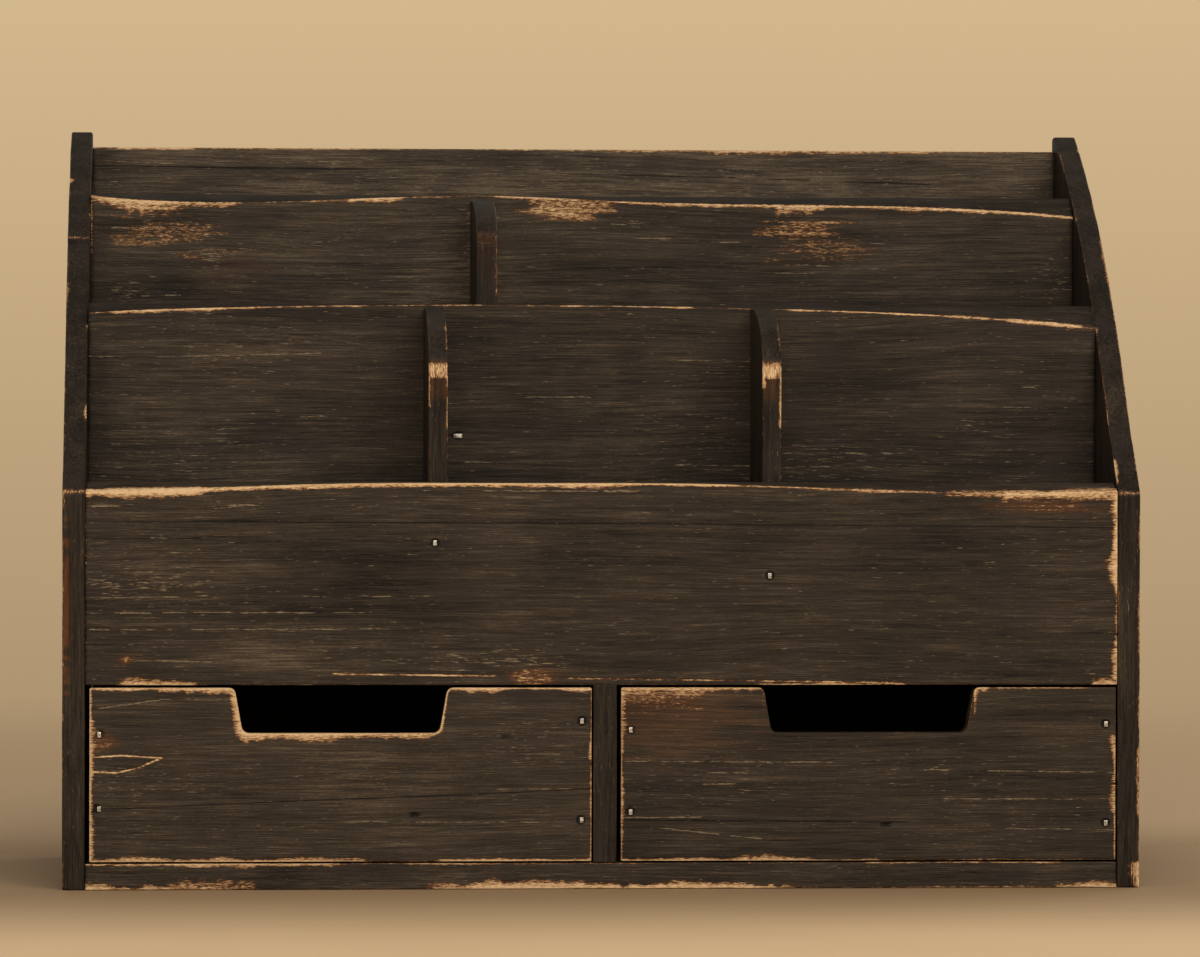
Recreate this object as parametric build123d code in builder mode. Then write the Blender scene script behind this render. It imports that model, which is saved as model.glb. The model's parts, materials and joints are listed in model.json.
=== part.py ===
from build123d import *
import os

# Desk-top envelope sorter: stepped letter pockets between two swept side panels, over two drawers.
#
# Millimetres. +X is to the right, +Y to the rear and +Z up. The origin is on the surface that the
# sorter stands on, midway between the side panels and midway between its front and its rear.
# A "depth" is measured rearwards from the front of the case, and a "height" upwards from its foot.

os.makedirs("parts", exist_ok=True)

# ------------------------------------------------------------------------------ side panels
case_width = 400.0
case_depth = 180.0
side_thickness = 8.7
side_height = 287.0
side_front_height = 147.0
side_slope_depth = 50.0
side_slope_height = 199.0
side_top_level = 6.0
side_arris = 0.9

# ------------------------------------------------------------------------------ boards across
base_thickness = 9.9
base_arris = 0.7
drawer_bay_height = 65.7
pocket_floor_thickness = 8.4
back_thickness = 8.7
back_top_height = 281.0
board_thickness = 8.4
front_rim_height = 150.6
middle_depth = 58.5
middle_rim_height = 217.6
upper_depth = 119.0
upper_rim_height = 260.9

# How far sanding and wear have lowered each board's front arris below its straight rear one:
# pairs of a place along the board, from 0 at its left end to 1 at its right end, and the drop.
front_rim_drops = [(0, 3.9), (0.10, 3.0), (0.24, 0.9), (0.42, 0.5), (0.60, 0.7), (0.74, 2.6), (1, 3.4)]
middle_rim_drops = [(0, 4.0), (0.12, 2.1), (0.50, 0.6), (0.76, 2.6), (0.92, 5.8), (1, 8.8)]
upper_rim_drops = [(0, 1.0), (0.12, 3.6), (0.41, 0.4), (0.55, 2.6), (0.80, 3.9), (1, 7.8)]

# ------------------------------------------------------------------------------ dividers
bay_divider_thickness = 8.9
bay_divider_offset = 0.4
lower_divider_thickness = 7.5
lower_divider_places = {"lower_divider_left": -61.3, "lower_divider_right": 62.9}
lower_shoulder_height = 190.0
lower_top_height = 216.0
lower_top_level = 5.0
upper_divider_thickness = 8.4
upper_divider_place = -40.5
upper_shoulder_height = 240.5
upper_top_height = 258.5
upper_top_level = 5.0
divider_arris = 0.8

# ------------------------------------------------------------------------------ drawers
drawer_front_thickness = 8.4
drawer_front_foot_gap = 0.5
drawer_front_head_gap = 1.0
drawer_left_gap = 1.5
drawer_right_gap = 0.5
drawer_rear_gap = 0.4
drawer_running_gap = 0.2
drawer_front_arris = 0.8
drawer_side_thickness = 7.0
drawer_side_headroom = 4.0
drawer_back_thickness = 7.0
drawer_back_headroom = 8.0
drawer_bottom_thickness = 3.2
notch_top_width = 78.5
notch_foot_width = 72.6
notch_depth = 16.8
notch_foot_radius = 3.0
notch_lip_radius = 2.5

# ------------------------------------------------------------------------------ brads
brad_width = 1.0
brad_breadth = 1.25
brad_head_width = 1.3
brad_head_breadth = 2.0
brad_head_height = 0.6
brad_length = 20.0
short_brad_length = 12.0
brad_clearance = 0.02
front_brad_heights = {"lower_divider_left": 128.0, "lower_divider_right": 116.0}
front_brad_offset = -1.4
hidden_brad_height = 150.0
stray_brad_place = -51.8
stray_brad_height = 167.4
stray_brad_length = 7.8
stray_brad_head_width = 1.7
stray_brad_head_breadth = 3.4
drawer_front_brad_inset = 3.6
drawer_front_brad_heights = {
    "left_drawer": {"left": (30.0, 57.3), "right": (25.6, 62.2)},
    "right_drawer": {"left": (28.5, 58.9), "right": (24.1, 60.9)},
}

# ------------------------------------------------------------------------------ worked-out places
inner_width = case_width - 2 * side_thickness
inner_left = -inner_width / 2
inner_right = inner_width / 2
pocket_floor_underside = base_thickness + drawer_bay_height
pocket_floor_top = pocket_floor_underside + pocket_floor_thickness
back_depth = case_depth - back_thickness
bay_divider_left = bay_divider_offset - bay_divider_thickness / 2
bay_divider_right = bay_divider_offset + bay_divider_thickness / 2
bay_divider_height = pocket_floor_underside
middle_rear = middle_depth + board_thickness
upper_rear = upper_depth + board_thickness
FROM_TOP = (Align.CENTER, Align.CENTER, Align.MAX)
PLAIN_HEAD = (brad_head_breadth, brad_head_width)
STRAY_HEAD = (stray_brad_head_breadth, stray_brad_head_width)
SIDEWAYS = (1, 0, 0)
UPWARDS = (0, 0, 1)
REARWARDS = (0, 1, 0)


def y_at(depth):
    return depth - case_depth / 2


def facing_front(depth):
    """The upright plane at a depth: its x is the case's X, its y is height, and it looks forwards."""
    return Plane.XZ.offset(-y_at(depth))


def facing_right(place):
    """The upright plane at a place along X: its x is the case's Y and its y is height."""
    return Plane.YZ.offset(place)


def spread(start, end, count):
    """Places evenly spaced between two ends, with half a space left at each end."""
    return [start + (end - start) * (index + 0.5) / count for index in range(count)]


def save(piece, name):
    piece.part.label = name
    export_step(piece.part, f"parts/{name}.step")


# ------------------------------------------------------------------------------ brads and their holes
# The brads are cut from flat wire, so shank and head are both oblong in section. A seat is a plane
# on the face that a brad is driven into: it looks out of the wood, and its x runs along the head.
def side_seats(side, points):
    """Seats on the outside of a side panel (-1 left, 1 right), at (depth, height) points."""
    face = side * case_width / 2
    return [Plane((face, y_at(depth), height), x_dir=UPWARDS, z_dir=(side, 0, 0)) for depth, height in points]


def front_seats(depth, points, lie=UPWARDS):
    return [Plane((place, y_at(depth), height), x_dir=lie, z_dir=(0, -1, 0)) for place, height in points]


def rear_seats(depth, points):
    return [Plane((place, y_at(depth), height), x_dir=UPWARDS, z_dir=(0, 1, 0)) for place, height in points]


def level_seats(height, points, up):
    return [Plane((place, y_at(depth), height), x_dir=REARWARDS, z_dir=(0, 0, up)) for place, depth in points]


def brad_form(length, head, clearance, mode):
    play = 2 * clearance
    Box(brad_breadth + play, brad_width + play, length + clearance, align=FROM_TOP, mode=mode)
    Box(head[0] + play, head[1] + play, brad_head_height, align=FROM_TOP, mode=mode)


def pierce(seats, length=brad_length, head=PLAIN_HEAD):
    with Locations(*seats):
        brad_form(length, head, brad_clearance, Mode.SUBTRACT)


def brads(seats, length=brad_length, head=PLAIN_HEAD):
    with BuildPart() as group:
        with Locations(*seats):
            brad_form(length, head, 0, Mode.ADD)
    return group


# Brads through the side panels, as (depth, height) points, by the board whose end they go into.
side_brad_points = {
    "base_board": [(depth, base_thickness / 2) for depth in spread(0, case_depth, 2)],
    "pocket_floor": [
        (depth, pocket_floor_underside + pocket_floor_thickness / 2)
        for depth in spread(board_thickness, back_depth, 2)
    ],
    "front_panel": [
        (board_thickness / 2, height) for height in spread(pocket_floor_top, front_rim_height, 2)
    ],
    "middle_board": [
        (middle_depth + board_thickness / 2, height)
        for height in spread(pocket_floor_top, middle_rim_height, 3)
    ],
    "upper_board": [
        (upper_depth + board_thickness / 2, height)
        for height in spread(pocket_floor_top, upper_rim_height, 3)
    ],
    "back_panel": [
        (back_depth + back_thickness / 2, height) for height in spread(base_thickness, back_top_height, 4)
    ],
}


def both_ends(board):
    """The seats of every side brad that goes into a board."""
    return side_seats(-1, side_brad_points[board]) + side_seats(1, side_brad_points[board])


base_seats = level_seats(0, [(bay_divider_offset, depth) for depth in spread(0, case_depth, 3)], up=-1)
floor_seat_depths = ((middle_rear + upper_depth) / 2, (upper_rear + back_depth) / 2)
floor_seats = level_seats(pocket_floor_top, [(bay_divider_offset, depth) for depth in floor_seat_depths], up=1)
pocket_floor_middle = pocket_floor_underside + pocket_floor_thickness / 2
back_seats = rear_seats(
    case_depth,
    [(place, pocket_floor_middle) for place in spread(inner_left, inner_right, 4)]
    + [(bay_divider_offset, base_thickness + drawer_bay_height / 2)],
)
front_seats_in_dividers = {
    name: front_seats(0, [(lower_divider_places[name] + front_brad_offset, front_brad_heights[name])])
    for name in lower_divider_places
}
middle_seats_in_dividers = {
    name: rear_seats(middle_rear, [(place, hidden_brad_height)])
    for name, place in lower_divider_places.items()
}
stray_seats = front_seats(middle_depth, [(stray_brad_place, stray_brad_height)], SIDEWAYS)
upper_seats = rear_seats(
    upper_rear,
    [(upper_divider_place, height) for height in spread(pocket_floor_top, upper_shoulder_height, 2)],
)

# ------------------------------------------------------------------------------ the side panels
# An upright front edge, a straight slope, and a long sweep that eases back to a short level top.
for name, side, inner_face in (("left", -1, -case_width / 2), ("right", 1, inner_right)):
    with BuildPart() as side_panel:
        with BuildSketch(facing_right(inner_face)):
            with BuildLine():
                slope = Line((y_at(0), side_front_height), (y_at(side_slope_depth), side_slope_height))
                sweep_end = (y_at(case_depth - side_top_level), side_height)
                sweep = TangentArc(slope @ 1, sweep_end, tangent=slope % 1)
                Polyline(
                    sweep @ 1,
                    (y_at(case_depth), side_height),
                    (y_at(case_depth), 0),
                    (y_at(0), 0),
                    slope @ 0,
                )
            make_face()
        extrude(amount=side_thickness)
        outline = side_panel.faces().filter_by(Axis.X).edges()
        fillet(outline.filter_by_position(Axis.Z, side_arris, side_height), radius=side_arris)
        for points in side_brad_points.values():
            pierce(side_seats(side, points))
    save(side_panel, f"{name}_side_panel")
    side_brads = brads([seat for points in side_brad_points.values() for seat in side_seats(side, points)])
    save(side_brads, f"{name}_side_brads")

# ------------------------------------------------------------------------------ base, floor and back
with BuildPart() as base_board:
    with BuildSketch(Plane.XY):
        Rectangle(inner_width, case_depth)
    extrude(amount=base_thickness)
    front_arris = base_board.faces().sort_by(Axis.Z)[-1].edges().sort_by(Axis.Y)[0]
    fillet(front_arris, radius=base_arris)
    pierce(both_ends("base_board") + base_seats)
save(base_board, "base_board")
save(brads(base_seats), "base_brads")

with BuildPart() as pocket_floor:
    with BuildSketch(Plane.XY.offset(pocket_floor_underside)):
        with BuildLine():
            Polyline(
                (inner_left, y_at(board_thickness)),
                (inner_right, y_at(board_thickness)),
                (inner_right, y_at(back_depth)),
                (inner_left, y_at(back_depth)),
                close=True,
            )
        make_face()
    extrude(amount=pocket_floor_thickness)
    pierce(both_ends("pocket_floor") + floor_seats + back_seats)
save(pocket_floor, "pocket_floor")
save(brads(floor_seats), "pocket_floor_brads")

with BuildPart() as back_panel:
    with BuildSketch(facing_front(case_depth)):
        with BuildLine():
            Polyline(
                (inner_left, base_thickness),
                (inner_right, base_thickness),
                (inner_right, back_top_height),
                (inner_left, back_top_height),
                close=True,
            )
        make_face()
    extrude(amount=back_thickness)
    pierce(both_ends("back_panel") + back_seats)
save(back_panel, "back_panel")
save(brads(back_seats), "back_panel_brads")


# ------------------------------------------------------------------------------ the stepped boards
def rim_board(face_depth, foot, rim, rim_drops, seats):
    """A board between the side panels whose sanded top is ruled between a straight rear arris
    at the rim's height and a wavy front arris that drops below it."""
    front_arris = [(inner_left + inner_width * share, rim - drop) for share, drop in rim_drops]
    with BuildPart() as board:
        with BuildSketch(facing_front(face_depth)):
            with BuildLine():
                Polyline(front_arris[0], (inner_left, foot), (inner_right, foot), front_arris[-1])
                Spline(*reversed(front_arris))
            make_face()
        with BuildSketch(facing_front(face_depth + board_thickness)):
            with BuildLine():
                Polyline(
                    (inner_left, rim),
                    (inner_left, foot),
                    (inner_right, foot),
                    (inner_right, rim),
                    close=True,
                )
            make_face()
        loft(ruled=True)
        pierce(seats)
    return board


front_panel = rim_board(
    0,
    pocket_floor_underside,
    front_rim_height,
    front_rim_drops,
    both_ends("front_panel") + [seat for seats in front_seats_in_dividers.values() for seat in seats],
)
save(front_panel, "front_panel")
save(brads([seat for seats in front_seats_in_dividers.values() for seat in seats]), "front_panel_brads")

middle_board = rim_board(
    middle_depth,
    pocket_floor_top,
    middle_rim_height,
    middle_rim_drops,
    both_ends("middle_board") + [seat for seats in middle_seats_in_dividers.values() for seat in seats],
)
with middle_board:
    pierce(stray_seats, stray_brad_length, STRAY_HEAD)
save(middle_board, "middle_board")
save(brads(stray_seats, stray_brad_length, STRAY_HEAD), "stray_brad")
save(brads([seat for seats in middle_seats_in_dividers.values() for seat in seats]), "middle_board_brads")

upper_board = rim_board(
    upper_depth,
    pocket_floor_top,
    upper_rim_height,
    upper_rim_drops,
    both_ends("upper_board") + upper_seats,
)
save(upper_board, "upper_board")
save(brads(upper_seats), "upper_board_brads")

# ------------------------------------------------------------------------------ the dividers
with BuildPart() as drawer_bay_divider:
    with BuildSketch(facing_right(bay_divider_left)):
        with BuildLine():
            Polyline(
                (y_at(0), base_thickness),
                (y_at(back_depth), base_thickness),
                (y_at(back_depth), bay_divider_height),
                (y_at(0), bay_divider_height),
                close=True,
            )
        make_face()
    extrude(amount=bay_divider_thickness)
    pierce(base_seats + floor_seats + back_seats)
save(drawer_bay_divider, "drawer_bay_divider")


def pocket_divider(place, thickness, front, rear, shoulder, top, top_level, seats):
    """An upright divider on the pocket floor: its front edge rises to a shoulder, and from there
    a quarter of an ellipse rounds it back to a short level top against the board behind it."""
    level_start = y_at(rear - top_level)
    with BuildPart() as divider:
        with BuildSketch(facing_right(place - thickness / 2)):
            with BuildLine():
                EllipticalCenterArc(
                    (level_start, shoulder),
                    x_radius=level_start - y_at(front),
                    y_radius=top - shoulder,
                    start_angle=90,
                    arc_size=90,
                )
                Polyline(
                    (y_at(front), shoulder),
                    (y_at(front), pocket_floor_top),
                    (y_at(rear), pocket_floor_top),
                    (y_at(rear), top),
                    (level_start, top),
                )
            make_face()
        extrude(amount=thickness)
        outline = divider.faces().filter_by(Axis.X).edges()
        above_foot = outline.filter_by_position(Axis.Z, pocket_floor_top + divider_arris, top)
        chamfer(above_foot.filter_by_position(Axis.Y, y_at(front), y_at(rear - divider_arris)), divider_arris)
        pierce(seats)
    return divider


for name, place in lower_divider_places.items():
    lower_divider = pocket_divider(
        place,
        lower_divider_thickness,
        board_thickness,
        middle_depth,
        lower_shoulder_height,
        lower_top_height,
        lower_top_level,
        front_seats_in_dividers[name] + middle_seats_in_dividers[name],
    )
    save(lower_divider, name)

upper_divider = pocket_divider(
    upper_divider_place,
    upper_divider_thickness,
    middle_rear,
    upper_depth,
    upper_shoulder_height,
    upper_top_height,
    upper_top_level,
    upper_seats,
)
save(upper_divider, "upper_divider")

# ------------------------------------------------------------------------------ the drawers
# Each drawer is a nailed box behind a full front with a flared finger notch. It rests on the base
# and is pushed home against the back panel, which leaves its front level with the case.
drawer_front_foot = base_thickness + drawer_front_foot_gap
drawer_front_head = pocket_floor_underside - drawer_front_head_gap
drawer_underside = base_thickness + drawer_running_gap
drawer_box_foot = drawer_underside + drawer_bottom_thickness
drawer_side_head = drawer_front_head - drawer_side_headroom
drawer_back_head = drawer_front_head - drawer_back_headroom
drawer_rear = back_depth - drawer_rear_gap
drawer_back_depth = drawer_rear - drawer_back_thickness


def drawer_front(left, right, seats):
    middle = (left + right) / 2
    notch_foot = drawer_front_head - notch_depth
    lip, corner = notch_lip_radius, notch_foot_radius
    with BuildPart() as front:
        with BuildSketch(facing_front(0)):
            with BuildLine():
                FilletPolyline(
                    (left, drawer_front_foot),
                    (right, drawer_front_foot),
                    (right, drawer_front_head),
                    (middle + notch_top_width / 2, drawer_front_head),
                    (middle + notch_foot_width / 2, notch_foot),
                    (middle - notch_foot_width / 2, notch_foot),
                    (middle - notch_top_width / 2, drawer_front_head),
                    (left, drawer_front_head),
                    radius=(0, 0, 0, lip, corner, corner, lip, 0),
                    close=True,
                )
            make_face()
        extrude(amount=-drawer_front_thickness)
        fillet(front.faces().sort_by(Axis.Y)[0].edges(), radius=drawer_front_arris)
        pierce(seats)
    return front


def drawer_side(inner_face, seats, bottom_seats):
    with BuildPart() as board:
        with BuildSketch(facing_right(inner_face)):
            with BuildLine():
                Polyline(
                    (y_at(drawer_front_thickness), drawer_box_foot),
                    (y_at(drawer_rear), drawer_box_foot),
                    (y_at(drawer_rear), drawer_side_head),
                    (y_at(drawer_front_thickness), drawer_side_head),
                    close=True,
                )
            make_face()
        extrude(amount=drawer_side_thickness)
        pierce(seats)
        pierce(bottom_seats, short_brad_length)
    return board


def drawer_back(left, right, seats, bottom_seats):
    with BuildPart() as board:
        with BuildSketch(facing_front(drawer_rear)):
            with BuildLine():
                Polyline(
                    (left + drawer_side_thickness, drawer_box_foot),
                    (right - drawer_side_thickness, drawer_box_foot),
                    (right - drawer_side_thickness, drawer_back_head),
                    (left + drawer_side_thickness, drawer_back_head),
                    close=True,
                )
            make_face()
        extrude(amount=drawer_back_thickness)
        pierce(seats)
        pierce(bottom_seats, short_brad_length)
    return board


def drawer_bottom(left, right, bottom_seats):
    with BuildPart() as panel:
        with BuildSketch(Plane.XY.offset(drawer_underside)):
            with BuildLine():
                Polyline(
                    (left, y_at(drawer_front_thickness)),
                    (right, y_at(drawer_front_thickness)),
                    (right, y_at(drawer_rear)),
                    (left, y_at(drawer_rear)),
                    close=True,
                )
            make_face()
        extrude(amount=drawer_bottom_thickness)
        pierce(bottom_seats, short_brad_length)
    return panel


drawer_bays = {
    "left_drawer": (inner_left, bay_divider_left),
    "right_drawer": (bay_divider_right, inner_right),
}
for name, (bay_left, bay_right) in drawer_bays.items():
    left = bay_left + drawer_left_gap
    right = bay_right - drawer_right_gap
    heights = drawer_front_brad_heights[name]
    through_front = front_seats(
        0,
        [(left + drawer_front_brad_inset, height) for height in heights["left"]]
        + [(right - drawer_front_brad_inset, height) for height in heights["right"]],
    )
    through_sides = [
        Plane((face, y_at(drawer_back_depth + drawer_back_thickness / 2), height), z_dir=(side, 0, 0))
        for face, side in ((left, -1), (right, 1))
        for height in spread(drawer_box_foot, drawer_back_head, 2)
    ]
    under_sides = [
        (face, depth)
        for face in (left + drawer_side_thickness / 2, right - drawer_side_thickness / 2)
        for depth in spread(drawer_front_thickness, drawer_rear, 2)
    ]
    under_back = [(place, drawer_back_depth + drawer_back_thickness / 2) for place in spread(left, right, 2)]
    through_bottom = level_seats(drawer_underside, under_sides + under_back, up=-1)
    save(drawer_front(left, right, through_front), f"{name}_front")
    seats = through_front + through_sides
    save(drawer_side(left, seats, through_bottom), f"{name}_left_side")
    save(drawer_side(right - drawer_side_thickness, seats, through_bottom), f"{name}_right_side")
    save(drawer_back(left, right, through_sides, through_bottom), f"{name}_back")
    save(drawer_bottom(left, right, through_bottom), f"{name}_bottom")
    save(brads(seats), f"{name}_brads")
    save(brads(through_bottom, short_brad_length), f"{name}_bottom_brads")
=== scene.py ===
"""The looks of a desk-top envelope sorter: worn, dark-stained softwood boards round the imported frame.

Places on a board are in millimetres: x to the right from the middle, depth rearwards from the front
of the case, and height from its foot. Blender's own lengths are in metres.
"""

import json
import math

import bmesh
import bpy
import numpy as np
from mathutils import Matrix, Vector

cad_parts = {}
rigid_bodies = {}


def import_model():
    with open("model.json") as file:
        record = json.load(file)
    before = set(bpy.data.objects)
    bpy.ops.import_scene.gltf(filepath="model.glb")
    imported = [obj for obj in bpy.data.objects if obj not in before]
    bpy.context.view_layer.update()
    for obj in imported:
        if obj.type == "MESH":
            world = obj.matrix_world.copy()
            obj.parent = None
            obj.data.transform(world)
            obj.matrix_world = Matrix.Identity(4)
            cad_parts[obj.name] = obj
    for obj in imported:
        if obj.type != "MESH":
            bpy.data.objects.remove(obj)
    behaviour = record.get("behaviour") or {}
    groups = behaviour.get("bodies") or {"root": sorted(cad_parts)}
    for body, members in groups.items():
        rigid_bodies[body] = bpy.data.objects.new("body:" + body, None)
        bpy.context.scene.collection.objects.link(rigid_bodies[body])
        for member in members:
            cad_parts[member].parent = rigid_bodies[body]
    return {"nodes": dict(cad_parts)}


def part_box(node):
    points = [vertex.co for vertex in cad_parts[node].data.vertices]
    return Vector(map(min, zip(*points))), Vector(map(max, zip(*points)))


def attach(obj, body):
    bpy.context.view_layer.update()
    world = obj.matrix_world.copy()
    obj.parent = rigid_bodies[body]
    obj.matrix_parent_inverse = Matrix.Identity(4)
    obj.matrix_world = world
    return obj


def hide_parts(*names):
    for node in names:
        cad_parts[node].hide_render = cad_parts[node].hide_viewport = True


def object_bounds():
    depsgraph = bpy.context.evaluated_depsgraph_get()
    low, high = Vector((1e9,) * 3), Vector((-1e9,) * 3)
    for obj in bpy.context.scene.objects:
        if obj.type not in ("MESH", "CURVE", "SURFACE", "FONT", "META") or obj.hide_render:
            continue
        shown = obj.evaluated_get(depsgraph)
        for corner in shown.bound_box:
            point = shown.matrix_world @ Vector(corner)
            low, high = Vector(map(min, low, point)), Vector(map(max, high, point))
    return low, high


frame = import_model()
cad_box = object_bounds()

MM = 0.001
CASE_DEPTH = (cad_box[1][1] - cad_box[0][1]) / MM
X, DEPTH, HEIGHT = 0, 1, 2
SEEN_FROM_FRONT = (X, HEIGHT, DEPTH)
SEEN_FROM_SIDE = (DEPTH, HEIGHT, X)
SEEN_FROM_ABOVE = (X, DEPTH, HEIGHT)


# -------- numbers that vary softly
def lattice(column, row, seed):
    """A settled number from -1 to 1 for each whole column and row."""
    mixed = np.sin(column * 127.1 + row * 311.7 + seed * 74.7) * 43758.5453
    return 2 * (mixed - np.floor(mixed)) - 1


def drift(across, down, seed):
    """Smooth noise from -1 to 1, one lattice cell to a unit."""
    column, row = np.floor(across), np.floor(down)
    u, v = across - column, down - row
    u, v = u * u * (3 - 2 * u), v * v * (3 - 2 * v)
    low = lattice(column, row, seed) * (1 - u) + lattice(column + 1, row, seed) * u
    high = lattice(column, row + 1, seed) * (1 - u) + lattice(column + 1, row + 1, seed) * u
    return low * (1 - v) + high * v


def smooth(value, low, high):
    share = np.clip((value - low) / (high - low), 0, 1)
    return share * share * (3 - 2 * share)


def within(value, low, high, fade):
    """1 between low and high, falling to 0 outside them over the fade."""
    return smooth(value, low - fade, low) * (1 - smooth(value, high, high + fade))


# -------- boards as fine surfaces
# how far the first grid lines lie from a board's ends and edges, and from its two faces
END_STEPS = (0, 0.12, 0.26, 0.42, 0.62, 0.86, 1.15, 1.6, 2.2, 3.0, 4.0)
EDGE_STEPS = (0, 0.14, 0.32, 0.56, 0.9, 1.4, 2.2, 3.2)
# the spacing of the lines between its faces, the share of a length that close lines keep to at either
# end, the least gap between two lines, and the gap under which two places are one
EDGE_PACE = 1.6
END_SHARE = 0.45
LEAST_GAP = 0.05
SAME_PLACE = 0.001
# the spacing at drawn lines and round brads, how far the close lines round a brad reach, and its pit
LINE_STEP = 0.22
BRAD_STEP = 0.4
BRAD_REACH = 2.4
BRAD_PIT = 2.1
# where a crest is looked up to find the nearest part of it, and the step that its slope is taken over
CREST_PROBES = np.linspace(-6, 6, 49)
CREST_STEP = 0.05
# what is this close to a face is on it
FACE_SLACK = 0.01
LINE_WIDTHS = {"light": 0.42, "dark": 0.4, "bare": 0.6}


def stations(low, high, steps, pace, fine=()):
    """Places from low to high: close together near both ends and in fine stretches (start, end, step)."""
    near = np.array([step for step in steps if step < (high - low) * END_SHARE])
    count = max(2, math.ceil((high - low - 2 * near[-1]) / pace) + 1)
    middle = np.linspace(low + near[-1], high - near[-1], count)[1:-1]
    for start, end, step in fine:
        middle = middle[(middle < start) | (middle > end)]
    places = [low + near, middle, high - near]
    places += [np.arange(start, end + step / 2, step) for start, end, step in fine]
    places = np.unique(np.round(np.concatenate(places), 3))
    places = places[(places > low - SAME_PLACE) & (places < high + SAME_PLACE)]
    apart = np.concatenate(([True], np.diff(places) > LEAST_GAP))
    apart[-1] = True
    return places[apart]


class Board:
    """A board as a closed grid of quads, with its arrises eased and its wear kept at every point.

    Its own directions are along, up and through. Through is least at the near face: the front of what
    is seen from the front, the left of what is seen from the side, the underside of what lies flat.
    Lines are grain lines and scratches on its near face: (start, end, kind, amount), from one
    (along, up) point to another. Pins are the (along, up) points of brads in that face.
    """

    def __init__(
        self, node, view, pace, top=None, still=0.0, lines=(), pins=(), fine=(),
        ease=0.5, grain="along", seed=1,
    ):
        self.node, self.view, self.seed = node, view, seed
        low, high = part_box(node)
        shift = Vector((0, CASE_DEPTH / 2 * MM, 0))
        low, high = (low + shift) / MM, (high + shift) / MM
        self.low = [round(low[axis], 3) for axis in view]
        self.high = [round(high[axis], 3) for axis in view]
        pinned = [
            [(pin[way] - BRAD_REACH, pin[way] + BRAD_REACH, BRAD_STEP) for pin in pins] for way in (0, 1)
        ]
        rows = [
            (min(start[1], end[1]) - 2 * LINE_STEP, max(start[1], end[1]) + 2 * LINE_STEP, LINE_STEP)
            for start, end, kind, amount in lines
        ]
        along = stations(self.low[0], self.high[0], END_STEPS, pace[0], pinned[0] + list(fine))
        up = stations(self.low[1], self.high[1], END_STEPS, pace[1], pinned[1] + rows)
        through = stations(self.low[2], self.high[2], EDGE_STEPS, EDGE_PACE)
        shape = (len(along), len(up), len(through))
        places = np.indices(shape)
        rim = np.zeros(shape, bool)
        for place, count in zip(places, shape):
            rim |= (place == 0) | (place == count - 1)
        self.ids = np.full(shape, -1)
        self.ids[rim] = np.arange(rim.sum())
        i, j, k = (place[rim] for place in places)
        self.along, self.up, self.through = along[i], up[j], through[k]
        self.lean = np.zeros(self.up.shape)
        below = self.high[1] - self.up if top is None else self.follow(top, still)
        self.to = {
            "left": self.along - self.low[0],
            "right": self.high[0] - self.along,
            "foot": self.up - self.low[1],
            "top": below,
            "near": self.through - self.low[2],
            "far": self.high[2] - self.through,
        }
        self.wear, self.tone, self.fleck, self.glow, self.sink = np.zeros((5,) + self.up.shape)
        self.easing = np.full(self.up.shape, ease)
        run, across = (self.along, self.up) if grain == "along" else (self.up, self.along)
        self.grain_along, self.grain_across = run, across + 1.8 * drift(run / 80, across / 30, seed)
        for line in lines:
            self.draw(*line)
        for pin in pins:
            self.dent(pin, BRAD_PIT, 0.25, 0.75)

    def follow(self, top, still):
        """Bends the rows above still to the crest that top gives, and returns the depth below it.

        Rows near the crest keep their distance from it, and those between it and still are squeezed.
        """
        share = (self.through - self.low[2]) / (self.high[2] - self.low[2])
        crest, height = top(self.along, share), self.up
        bend = self.high[1] - END_STEPS[-1]
        squeeze = (crest - END_STEPS[-1] - still) / (bend - still)
        from_crest = crest - (self.high[1] - height)
        self.up = np.where(height > bend, from_crest, still + (height - still) * squeeze)
        self.up = np.where(height < still, height, self.up)
        rise = top(self.along + CREST_STEP, share) - top(self.along - CREST_STEP, share)
        self.lean = np.arctan(rise / (2 * CREST_STEP))
        below = crest - self.up
        for aside in CREST_PROBES:
            drop = np.maximum(top(self.along + aside, share) - self.up, 0)
            below = np.minimum(below, np.hypot(aside, drop))
        return below

    def on(self, face):
        return self.to[face] < FACE_SLACK

    def rub(self, arris, reach=1.2, strength=0.6, spans=(), ragged=0.8):
        """Wears an arris all along, and more along the spans: (start, end, reach, strength).

        Ragged is how unevenly it reaches in from the arris.
        """
        distance = np.hypot(self.to[arris[0]], self.to[arris[1]])
        # the arris runs in the one direction that neither of its two faces looks in
        looks = {"near": 2, "far": 2, "left": 0, "right": 0, "foot": 1, "top": 1}
        run = (self.along, self.up, self.through)[3 - looks[arris[0]] - looks[arris[1]]]
        seed = self.seed * 7 + len(arris[0]) * 3 + len(arris[1])
        uneven = 0.6 * drift(run / 11, run * 0, seed) + 0.4 * drift(run / 2.6, run * 0, seed + 1)
        uneven = np.maximum(1 + ragged * uneven, 0.1)
        amount = strength * np.clip(1 - distance / (reach * uneven), 0, 1) ** 0.6
        for start, end, width, power in spans:
            inside = within(run, start, end, 0.15 * (end - start))
            near = np.clip(1.05 - distance / (width * uneven), 0, 1) ** 0.5
            amount = np.maximum(amount, power * near * inside)
        self.wear = np.maximum(self.wear, amount)

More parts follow.
